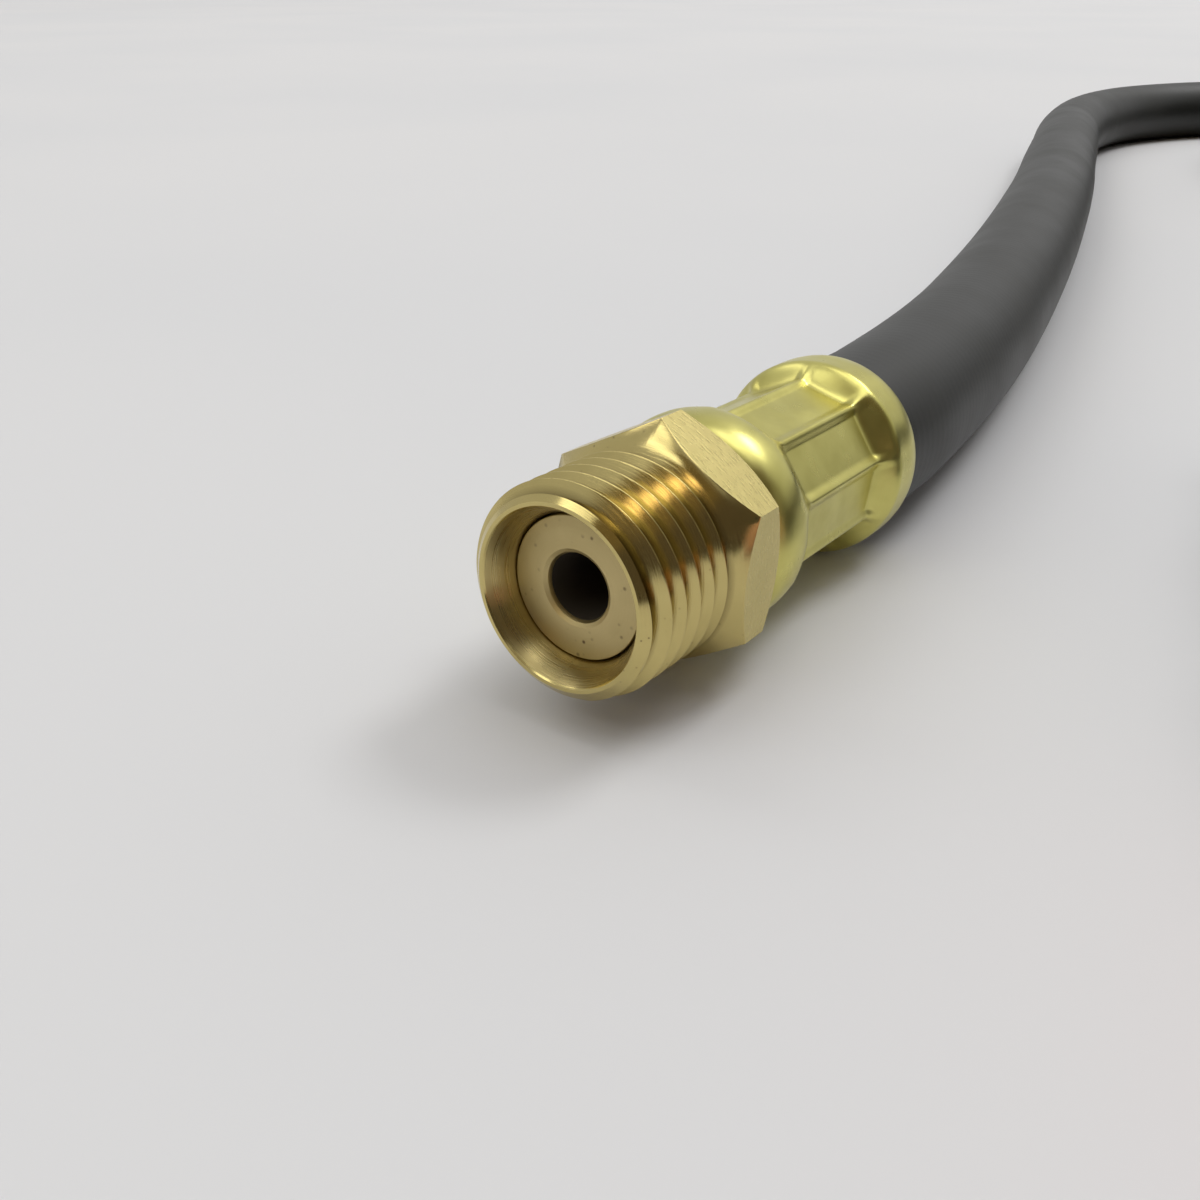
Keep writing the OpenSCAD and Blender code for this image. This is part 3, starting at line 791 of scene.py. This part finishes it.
# ---------------------------------------------------------------- CAD nodes that keep their shape
def dress_cad_nodes(materials):
    nodes_by_material = {
        "hose": ("connector_hose_end", "torch_hose_end"),
        "copper": ("connector_conductor", "torch_conductor", "neck_tube", "head_core", "collet_body",
                   "collet"),
        "ferrule": ("torch_ferrule",),
        "stem": ("torch_stem",),
        "hex": ("torch_union_nut",),
        "rubber": ("head_insulation",),
        "plastic": ("handle", "back_cap"),
        "seal": ("cap_o_ring",),
        "gasket": ("cup_gasket",),
        "ceramic": ("ceramic_cup",),
        "tungsten": ("tungsten_electrode",)}
    for name, nodes in nodes_by_material.items():
        for node in nodes:
            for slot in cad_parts[node].material_slots:
                slot.material = materials[name]


# ---------------------------------------------------------------- floor and light
def make_floor():
    """Pale paper. In reflections only, the floor in front of the paper is painted dark: a painted
    reflection of the shade on the table there.
    """
    bpy.ops.mesh.primitive_plane_add(size=FLOOR_SIZE, location=FLOOR_AT)
    floor = bpy.context.active_object
    floor.name = "floor"
    m = Material("floor")
    m.surface({"Base Color": m.ramp(m.cloud(6, 2.0, 0.5), PAPER),
               "Roughness": 0.6,
               "Specular IOR Level": 0})
    place = m.add("ShaderNodeSeparateXYZ", {"Vector": m.coordinates("Object")})
    edge = REFLECTED_SHADE_EDGE_Y - FLOOR_AT.y
    reflected_shade_mask = m.map_range(place.outputs["Y"], edge, edge - REFLECTED_SHADE_FADE)
    rays = m.add("ShaderNodeLightPath", {})
    # Painted reflection of shade: dark beyond the edge, for glossy rays only.
    m.stain(m.multiply(reflected_shade_mask, rays.outputs["Is Glossy Ray"]), REFLECTED_SHADE_COLOUR)
    floor.data.materials.append(m.material)


def aim(azimuth, elevation):
    """Unit vector at an azimuth from +Y towards +X and an elevation, both in degrees."""
    a, h = math.radians(azimuth), math.radians(elevation)
    return Vector((math.cos(h) * math.sin(a), math.cos(h) * math.cos(a), math.sin(h)))


def make_lamp(name, azimuth, elevation, size, power, colour):
    data = bpy.data.lights.new(name, "AREA")
    data.shape = "RECTANGLE"
    data.size, data.size_y = size
    data.energy = power
    data.color = colour
    lamp = bpy.data.objects.new(name, data)
    towards = aim(azimuth, elevation)
    lamp.location = LAMPS_AIM_AT + LAMP_DISTANCE * towards
    lamp.rotation_euler = (-towards).to_track_quat("-Z", "Y").to_euler()
    bpy.context.scene.collection.objects.link(lamp)


def make_sky():
    """The room that the metal reflects, as patches of colour laid over the walls."""
    world = bpy.data.worlds.new("studio")
    world.use_nodes = True
    sky = Nodes(world.node_tree)
    colour = (*WALLS, 1)
    for centre, full, end, patch in PALE_WALL + DARK_SIDE + ROOM_LAMP + PANES:
        direction = sky.add("ShaderNodeTexCoord", {}).outputs["Generated"]
        inputs = {0: direction, 1: aim(*centre)}
        cosine = sky.add("ShaderNodeVectorMath", inputs, operation="DOT_PRODUCT").outputs["Value"]
        low, high = math.cos(math.radians(end)), math.cos(math.radians(full))
        strength = sky.map_range(cosine, low, high, interpolation_type="SMOOTHSTEP")
        colour = sky.mix(strength, colour, patch)
    sky.feed(world.node_tree.nodes["Background"], "Color", colour)
    bpy.context.scene.world = world


# ---------------------------------------------------------------- the whole scene
def main():
    bpy.context.scene.view_settings.view_transform = "Standard"
    make_camera()
    materials = make_materials()
    lead, route, length = make_lead(materials)
    nut = make_nut(materials)
    stem = make_stem(materials)
    ferrule = make_ferrule(materials)
    dress_cad_nodes(materials)
    make_floor()
    make_sky()
    for name, lamp in LAMPS.items():
        make_lamp(name, *lamp)


main()
